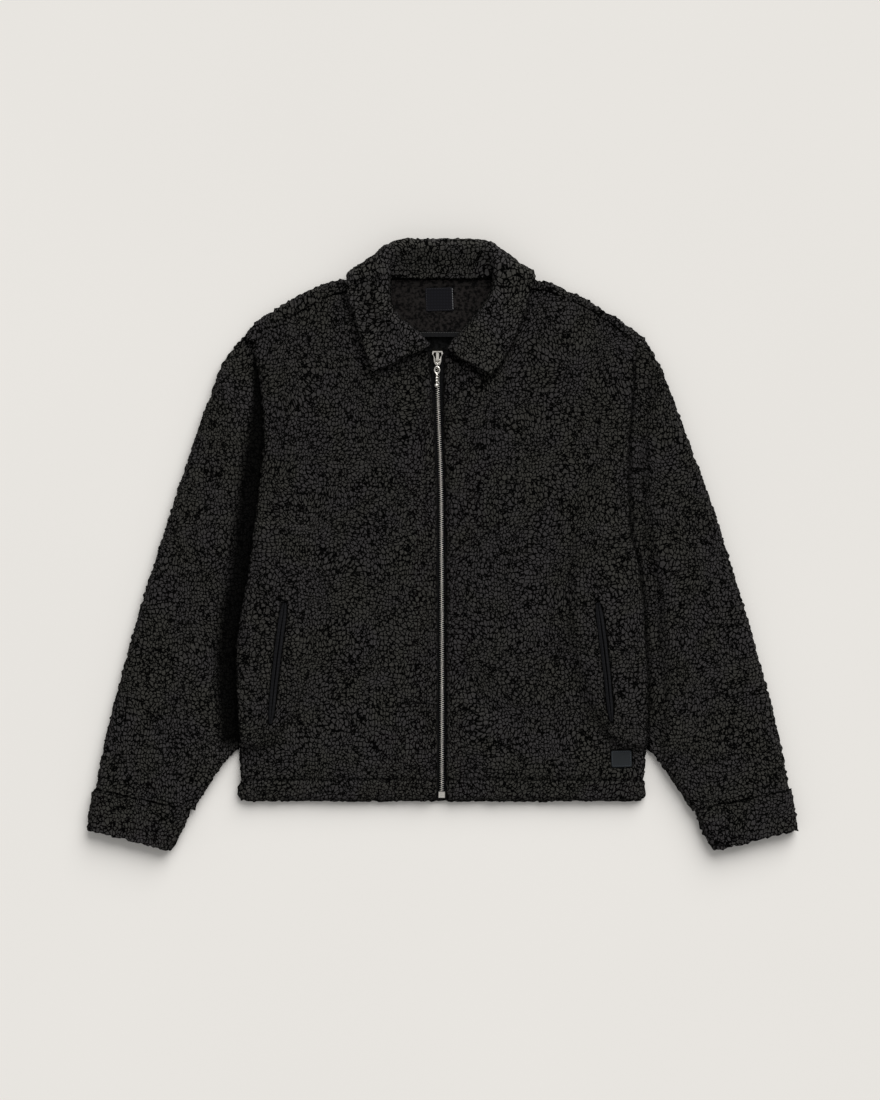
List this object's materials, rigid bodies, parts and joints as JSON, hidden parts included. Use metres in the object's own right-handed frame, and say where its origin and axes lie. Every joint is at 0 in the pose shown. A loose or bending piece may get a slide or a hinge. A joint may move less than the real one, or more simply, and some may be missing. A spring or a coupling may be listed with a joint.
{
  "type": "high pile fleece jacket",
  "caption": "Zip-up high pile fleece jacket with a turned-down collar, welt pockets and banded cuffs, lying flat on its back.",
  "frame": {"origin": "on the ground under the middle of the flat jacket's box", "axes": "+X to the wearer's left sleeve, +Y to the collar, +Z out of the jacket's front, up"},
  "size_m": [0.8862, 0.7637, 0.0358],
  "materials": {
    "fleece": "black high pile polyester fleece, brushed into soft clumps of curls",
    "knit": "black brushed knit",
    "smooth_cloth": "black smooth woven cloth, matt",
    "satin": "black satin weave, bare",
    "patch_cloth": "dark blue-grey rubbery patch, matt and bare",
    "zip_tape": "black woven zip tape",
    "zip_metal": "nickel plated, lightly brushed and worn"
  },
  "bodies": {
    "jacket": {"back": "fleece", "front_right": "fleece", "front_left": "fleece", "sleeve_right": "fleece", "sleeve_left": "fleece", "cuff_right": "fleece", "cuff_left": "fleece", "collar": "fleece", "neck_facing": "knit", "neck_tape": "knit", "facing_binding": "smooth_cloth", "neck_label": "satin", "welt_inner_right": "smooth_cloth", "welt_outer_right": "smooth_cloth", "welt_inner_left": "smooth_cloth", "welt_outer_left": "smooth_cloth", "patch": "patch_cloth", "zip_tape_right": "zip_tape", "zip_tape_left": "zip_tape", "zip_teeth_right": "zip_metal", "zip_teeth_left": "zip_metal", "zip_stop_right": "zip_metal", "zip_stop_left": "zip_metal", "zip_box": "zip_metal", "zip_slider": "zip_metal"},
    "pull": {"pull_ring": "zip_metal"}
  },
  "joints": [
    {"name": "pull_hinge", "type": "hinge", "parent": "jacket", "child": "pull", "pos_m": [-0.0062, 0.2312, 0.0137], "axis": [-1, 0, 0], "range_deg": [0, 115]}
  ]
}
